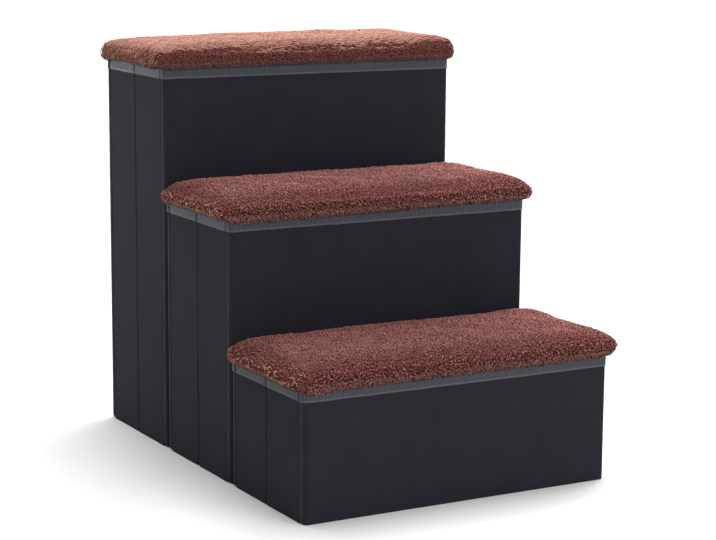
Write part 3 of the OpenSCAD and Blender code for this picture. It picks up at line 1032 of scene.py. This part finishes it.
FRINGE = (  # for each lid, places from left to right and how far the front's plush hangs there
    ([-210, -203, -192, -165, -120, 188, 206], [0.4, 2.5, 7.2, 5.4, 4.2, 3.8, 0.4]),
    ([-210, -203, -192, -100, 0, 100, 188, 206], [0.4, 2.2, 5.4, 5.0, 4.2, 2.4, 2.2, 0.4]),
    ([-210, -203, -192, -150, 0, 188, 206], [0.4, 1.8, 4.2, 3.2, 2.4, 2.4, 0.4]),
)
BACK_FRINGE = ([-206, -188, 188, 206], [0.4, 2.4, 2.4, 0.4])


def fringe_depth(x, y, index):
    """How far below the rim the plush hangs along a lid's front and back."""
    behind, before = np.interp(x, *BACK_FRINGE), np.interp(x, *FRINGE[index])
    return np.where(y > sum(lid_edges(index)) / 2, behind, before)


def fringe(index):
    """Anchors of the pile's lowest rows, which hang past the lid's edge, with their normals."""
    rng = np.random.default_rng(1300 + index)
    path = lid_plan(index, 3.2, LID_R, 0.6, pieces=(280, 118, 15))
    _, back = lid_edges(index)
    anchors, ways = [], []
    for p, n in zip(path, outward(path)):
        if index < TOP and p[1] > back - 6:
            continue
        facing = n[1] < -0.3 or (index == TOP and n[1] > 0.3)
        deep = float(fringe_depth(*p, index)) if facing else 0.0
        start = 4.6
        z = start + rng.uniform(-0.8, 0.8)
        while z > 1.9 - deep:
            tuck = -0.35 + 0.4 * max(0.0, z - 1.5) if facing else 1.0 + 0.6 * max(0.0, start - z)
            x, y = p - n * (tuck + abs(rng.normal(0, 0.2)))
            anchors.append((x + rng.normal(0, 0.5), y, RIMS[index] + z + rng.normal(0, 0.4)))
            ways.append((n[0] + rng.normal(0, 0.25), n[1] + rng.normal(0, 0.25),
                         -0.2 + rng.normal(0, 0.3)))
            z -= 1.6
    return lean(np.array(anchors), index), unit(np.array(ways))


def shadow_strip(index):
    """The edge of the black lining, folded down behind the plush's lowest curls: a dark strip that
    stands in for the shadow under the lid's edge.
    """
    _, back = lid_edges(index)
    closed, top, thick = index == TOP, 3.3, 0.35
    path = lid_plan(index, 3.45, LID_R, 0.0, pieces=(150, 60, 13))
    if not closed:
        path = run_where(path, lambda p: p[1] < back - 8)
    normals = outward(path)
    if not closed:
        normals[[0, -1]] = [[-1, 0], [1, 0]]
    front = rise(np.abs(normals[:, 1]) - 0.7, 0.25)
    path = path - normals * (1.8 * (1 - front))[:, None]
    inner = path - normals * thick
    low = 0.3 - front * (fringe_depth(path[:, 0], path[:, 1], index) - 0.8)
    rows = np.stack([
        at_height(path, top), np.column_stack([path, low]),
        np.column_stack([inner, low]), at_height(inner, top),
    ], axis=1)
    rows[:, :, 2] += RIMS[index] + 0.25 * waves(at_height(path, 0), 990 + index, 45)[:, None]
    count = len(path)
    faces = []
    for i in range(count if closed else count - 1):
        a, b = 4 * i, 4 * ((i + 1) % count)
        faces += [(a + k, a + (k + 1) % 4, b + (k + 1) % 4, b + k) for k in range(4)]
    if not closed:
        faces += [(3, 2, 1, 0), tuple(4 * (count - 1) + k for k in range(4))]
    points = droop(lean(rows.reshape(-1, 3), index), index)
    obj = mesh_object(f"{STEPS[index]}_lid_shadow_strip", points, faces, [LINING], sharp=50)
    return dress(obj, f"{STEPS[index]}_lid")


SIDES = ("top", "front", "back", "left", "right")
SHADE = {  # painted light and shade: how much of the tips' colour the curls of each lid's sides show, set by how light falls on each side
    "top": (1.0, 1.0, 1.0), "front": (1.0, 1.0, 0.75), "back": (1.0, 1.0, 0.75),
    "left": (1.4, 1.4, 1.1), "right": (1.2, 1.2, 0.85),
}
# painted light and shade: how bright each lid's sides are painted, set by how light falls on them
PAINTED_BRIGHTNESS = {
    "top": (1.0, 1.0, 1.02), "front": (1.05, 1.05, 1.12), "back": (1.05, 1.05, 1.08),
    "left": (1.2, 1.2, 1.12), "right": (1.0, 1.0, 1.1),
}


def pile(cushion, index):
    """Covers a cushion with curls, or with longer combed locks on the top step."""
    rim, combed = RIMS[index], index == TOP
    wall_front, wall_back = FRONTS[index], FRONTS[index] + DEPTH

    def spacing(places, n):
        """The least distance between locks, or -1 where the box hides them."""
        x, y, z = places.T
        hidden = (n[:, 2] < -0.3) & (z < rim + 3) & (np.abs(x) < HALF + 3)
        hidden &= (y > wall_front - 2) & (y < wall_back + (3 if combed else 20))
        left = (x < 0) & (np.abs(n[:, 1]) < 0.7)
        on_top, on_left, on_side = (2.15, 2.3, 1.9) if combed else (2.5, 2.9, 2.5)
        return np.select([hidden, n[:, 2] > 0.7, left], [-1, on_top, on_left], on_side)

    anchors, normals = scatter(cushion, 60 + index, spacing)
    low_anchors, low_normals = fringe(index)
    hanging = np.repeat([False, True], [len(anchors), len(low_anchors)])
    anchors = np.concatenate([anchors, low_anchors])
    normals = np.concatenate([normals, low_normals])
    ragged = np.random.default_rng(77 + index).uniform(-0.12, 0.12, len(normals))
    diagonal = 0.7071
    sides = np.select([
        normals[:, 2] > 0.60 + ragged, normals[:, 1] < -diagonal, normals[:, 1] > diagonal,
        anchors[:, 0] < 0,
    ], [0, 1, 2, 3], 4)
    for number, label in enumerate(SIDES):
        chosen = sides == number
        a, n, hangs = anchors[chosen], normals[chosen], hanging[chosen]
        flat, left = label == "top", label == "left"
        seed = 1000 + 10 * index + number
        low = rise(rim + 14 - a[:, 2], 14)
        heat = low**2 * 0.5 + 0.06
        if left:
            heat = np.clip(heat * (0.45 if combed else 1.2) + 0.25, 0, 1)
        elif not flat:
            heat = heat * 0.3
        hang = np.where(np.abs(n[:, 1]) > 0.3, fringe_depth(a[:, 0], a[:, 1], index), 0.0)
        # painted shade: the fringe's lowest curls are darker
        painted_hem_shade = rise(rim + 1.9 - hang + 4.0 - a[:, 2], 2.5)
        painted_brightness = PAINTED_BRIGHTNESS[label][index] * (1 - 0.35 * painted_hem_shade)
        forward = rise(wall_back - a[:, 1], DEPTH)
        rightward = rise(a[:, 0] - 60, 150)
        # painted light and shade: the tops darker towards their back edge, and the lower lids' tops
        # and sides lighter to the right
        if combed:
            painted_brightness = painted_brightness * (0.88 + 0.19 * forward if flat else 1)
            spread = 0.4 if left else 0.09
        else:
            lit = (0.86 + 0.16 * forward) * (1 + 0.6 * rightward) if flat else 1 + 0.2 * rightward
            painted_brightness = painted_brightness * lit
            spread = 0.25 if left else 0.12
        size = np.where(hangs, 0.7, 1.0)
        if label in ("left", "right"):
            size = size * (0.75 + 0.25 * rise(a[:, 2] - rim - 2, 5))
        if combed:
            comb = COMBS.get(label, COMBS["side"])
            locks = templates(seed, 24, lambda rng: strand(rng, comb))
            way, jitter = comb.way, comb.jitter
            if left:
                a = a + n * np.random.default_rng(seed + 5).uniform(-0.4, 0.7, len(a))[:, None]
        else:
            locks = templates(seed, 28, lambda rng: curl(rng, flat))
            way, jitter = (1.0, 0.3, 0.2), math.pi
            if left:
                size = size * 1.2
                a = a - n * np.where(hangs, 0.6, 2.0)[:, None]
        uneven = (0.25 if combed else 0.6) if flat else 1.0
        points, faces, colours = lay_out(
            a, n, way, locks, seed, size, jitter, SHADE[label][index], uneven, heat, painted_brightness, spread)
        points = keep_clear(droop(points, index), index)
        # the top lid's front, back and right take the lower lids' colours, a shaded copy of its lit
        # ones: painted light and shade
        material = PILE[TOP - 1 if combed and label in ("front", "back", "right") else index]
        # locks that face down under the lid's edge take the near-black pile, a painted shadow
        in_painted_shadow = np.repeat(n[:, 2] < -0.55, len(faces) // len(n))
        name = f"{STEPS[index]}_pile_{label}"
        obj = triangle_object(name, points, faces, [material, SHADOW_PILE], colours, in_painted_shadow)
        dress(obj, f"{STEPS[index]}_lid")


def foam_pad(index):
    """The lid's foam: a slab whose upper edge is rounded by the cover drawn over it."""
    section = [(8.0, 5.7), (6.9, 6.1), (6.6, 7.5), (7.0, 11.0)]
    section += [(9.8, 13.6), (13.5, 15.4), (19.0, 16.6)] if index == 1 else [
        (8.4, 14.3), (11.0, 16.2), (15.0, 17.2)]
    rows = lid_rows(index, section + [(40.0, 17.5)], 4.0, lambda inset: 0.4)
    points = rows.reshape(-1, 3)
    points[:, 2] += 0.15 * waves(points, 970 + index, 40) * (points[:, 2] > RIMS[index] + 14)
    points = round_off(points, index, 1.5)
    obj = loft(f"{STEPS[index]}_foam_pad", points, len(rows), FOAM, 60)
    dress(obj, f"{STEPS[index]}_lid", f"{STEPS[index]}_lid_pad")


def lining_sheet(name, half, y0, y1, z, thick, seed, uneven, border):
    """A flat sheet of black lining with thickness, a little uneven, sewn at border inside its
    edge."""
    cell = 6.0
    nx, ny = int(2 * half // cell) + 1, int((y1 - y0) // cell) + 1
    gx, gy = np.meshgrid(np.linspace(-half, half, nx + 1), np.linspace(y0, y1, ny + 1))
    flat = np.stack([gx.ravel(), gy.ravel(), np.zeros(gx.size)], axis=1)
    wave = uneven * (0.3 * (1 + waves(flat, seed, 60)) + 0.2 * (1 + waves(flat, seed + 1, 19)))
    edge = np.minimum(half - np.abs(gx), np.minimum(gy - y0, y1 - gy)).ravel()
    flat[:, 2] = z + np.clip(wave, 0, uneven) * rise(edge, 12)
    points = np.concatenate([flat, flat + [0, 0, thick]])
    count, row = len(flat), nx + 1
    faces = []
    for a in (j * row + i for j in range(ny) for i in range(nx)):
        b, c, d = a + row, a + row + 1, a + 1
        faces += [(a, b, c, d), (count + a, count + d, count + c, count + b)]
    rim = [*range(nx), *range(nx, count - 1, row), *range(count - 1, count - row, -1)]
    rim += range(ny * row, 0, -row)
    faces += [(a, b, count + b, count + a) for a, b in zip(rim, rim[1:] + rim[:1])]
    x, near, far = half - border, y0 + border, y1 - border
    corners = np.array([(-x, near, z), (x, near, z), (x, far, z), (-x, far, z)])
    down, settings = np.tile([0, 0, -1.0], (60, 1)), {"pitch": 4.4, "length": 3.2, "thick": 0.32}
    lines = [
        (np.linspace(a, b, 60), down, settings, False)
        for a, b in zip(corners, np.roll(corners, -1, axis=0))
    ]
    points, indices = add_stitches(points, faces, lines)
    return mesh_object(name, points, faces, [LINING, THREAD], 55, indices)


for index, step in enumerate(STEPS):
    cushion = cushion_blank(index)
    blow_up(cushion, index)
    pile(cushion, index)
    set_points(cushion, keep_clear(droop(mesh_points(cushion), index), index))
    cushion.data.polygons.foreach_set("use_smooth", [True] * len(cushion.data.polygons))
    dress(cushion, f"{step}_lid", f"{step}_lid_cover")

for index, step in enumerate(STEPS):
    foam_pad(index)
    front, back = lid_edges(index)
    half = LID_HALF - LINING_IN
    backing = lining_sheet(f"{step}_lid_lining", half, front + LINING_IN, back - LINING_IN,
                           RIMS[index] + LID_LIFT, 0.5, 30 + index, 0.3, 3.0)
    dress(backing, f"{step}_lid", f"{step}_lid_backing")
    # a dark strip: the painted shadow under the lid's edge
    shadow_strip(index)

for index, step in enumerate(STEPS):
    y, held_back = FRONTS[index], HELD_BACK[index]
    inset = PANEL_T + LINING_GAP
    cloth = lining_sheet(f"{step}_base_lining", HALF - inset, y + inset, y + DEPTH - inset,
                         1.0, 0.6, 70 + index, 0.35, 4.0)
    dress(cloth, WALLS[index][held_back], f"{step}_base_cloth")
    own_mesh(cloth)


def hinge_levels(foot, first, index):
    """Levels of a cloth hinge, from its foot to just under the tape."""
    top = RIMS[index] - TAPE_H - 0.5
    return [*foot, *np.linspace(first, top - 4, int(top // 14)), top - 0.3, top]


def crease_cloth(index, right):
    """The cover cloth that runs on across the crease of a side wall, a shallow groove."""
    step, side = STEPS[index], "right" if right else "left"
    y = np.array([0.0, 0.25, 0.6, 1.0, 1.5, 2.1, 2.6])
    depth = np.array([2.15, 2.0, 1.55, 0.92, 0.42, 0.12, 0.06])
    y, depth = np.concatenate([-y[:0:-1], y]), np.concatenate([depth[:0:-1], depth])
    thick = 0.35
    outline = np.concatenate([
        np.stack([-HALF + depth, y], axis=1),
        np.stack([-HALF + depth[::-1] + thick, y[::-1]], axis=1),
    ])
    rows = np.array([at_height(outline, z) for z in hinge_levels([3.5, 3.8], 8, index)])
    points = rows.reshape(-1, 3)
    points[:, 0] += 0.05 * waves(points, 80 + index, 30)
    middle = FRONTS[index] + DEPTH / 2
    points = points * [-1 if right else 1, 1, 1] + [0, middle, 0]
    obj = loft(f"{step}_{side}_crease_cloth", points, len(rows), WALL_CLOTH, 60, not right)
    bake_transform(obj)


def corner_cloth(index, right, back):
    """The cloth hinge inside a corner, sewn along the end wall's turned edge."""
    step, side, end = STEPS[index], "right" if right else "left", "back" if back else "front"
    x0, x1, y0, y1, r = 193.02, 193.46, 7.15, 10.85, 0.1
    plan = rounded_path([(x0, y0, r), (x1, y0, r), (x1, y1, r), (x0, y1, r)], 1.2)
    levels = hinge_levels([5.5], 10, index)
    rows = np.array([at_height(plan, z) for z in levels[:-2] + levels[-1:]])
    points = place_end(rows.reshape(-1, 3), index, back) * [1 if right else -1, 1, 1]
    name = f"{step}_{side}_{end}_corner_cloth"
    obj = loft(name, points, len(rows), WALL_CLOTH, 60, right == back)
    dress(obj, WALLS[index][back])


for index, right in product(range(3), (False, True)):
    crease_cloth(index, right)
    for back in (False, True):
        corner_cloth(index, right, back)

KEPT = {"_leaf": LINING, "lid_board": BOARD, "fastener_strips": FASTENER}  # CAD nodes that show
for node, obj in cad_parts.items():
    for ending, material in KEPT.items():
        if node.endswith(ending):
            obj.data.materials.clear()
            obj.data.materials.append(material)


def floor_material():
    m = Nodes("floor", Specular_IOR_Level=0.1)
    grain = m.noise(m.place(), 3, 2, 0.5)
    return m.finish(m.ramp(grain, (0.0, (0.60,) * 3), (1.0, (0.62,) * 3)), grain, 0.85, 0.9)


def add_light(name, kind, power, size, place, target=(0, 0, 0)):
    """A sun with its angle in degrees, or a square soft box with its side in metres."""
    light = bpy.data.lights.new(name, kind)
    light.energy = power
    if kind == "SUN":
        light.angle = math.radians(size)
    else:
        light.size = size
    obj = add_object(name, light)
    obj.location = place
    obj.rotation_mode = "QUATERNION"
    obj.rotation_quaternion = (Vector(place) - Vector(target)).to_track_quat("Z", "Y")


reach = 60.0 / MM
floor = mesh_object(
    "floor", [(-reach, -reach, 0), (reach, -reach, 0), (reach, reach, 0), (-reach, reach, 0)],
    [(0, 1, 2, 3)], [floor_material()])

world = bpy.data.worlds.new("studio")
bpy.context.scene.world = world
world.use_nodes = True
background = world.node_tree.nodes["Background"]
background.inputs["Color"].default_value = (1, 1, 1, 1)
background.inputs["Strength"].default_value = 0.35
add_light("top_light", "SUN", 3.7, 55, (0.10, 0.20, 1.0))
add_light("right_light", "SUN", 1.2, 40, (0.85, 0.40, 0.70))
add_light("front_light", "SUN", 1.4, 50, (0.35, -0.90, 0.55))
add_light("right_softbox", "AREA", 5.0, 0.5, (0.95, 0.30, 0.85), (0.15, 0.0, 0.3))
add_light("upper_softbox", "AREA", 3.5, 0.6, (0.05, 0.35, 1.20), (0.0, 0.18, 0.48))
add_light("left_softbox", "AREA", 2.4, 0.3, (-0.58, 0.88, 0.52), (-0.2, 0.3, 0.32))

bpy.context.scene.view_settings.view_transform = "Standard"
bpy.context.scene.view_settings.look = "None"

# the camera that the corners of the three boxes in the photo were fitted with
AZIMUTH, ELEVATION, ROLL = (math.radians(a) for a in (-29.13958, 10.23365, 0.42873))
right = Vector((math.cos(AZIMUTH), math.sin(AZIMUTH), 0))
level = Vector((-math.sin(AZIMUTH), math.cos(AZIMUTH), 0))
forward = math.cos(ELEVATION) * level - Vector((0, 0, math.sin(ELEVATION)))
up = right.cross(forward)
turned_right = math.cos(ROLL) * right + math.sin(ROLL) * up
turned_up = -math.sin(ROLL) * right + math.cos(ROLL) * up
camera_data = bpy.data.cameras.new("camera")
camera_data.lens = 103.17996
camera_data.sensor_width = 36
camera_data.clip_start, camera_data.clip_end = 0.1, 200
camera = add_object("camera", camera_data)
matrix = Matrix((turned_right, turned_up, -forward)).transposed().to_4x4()
matrix.translation = Vector((-1.1952, -2.17505, 0.67124))
camera.matrix_world = matrix
bpy.context.scene.camera = camera
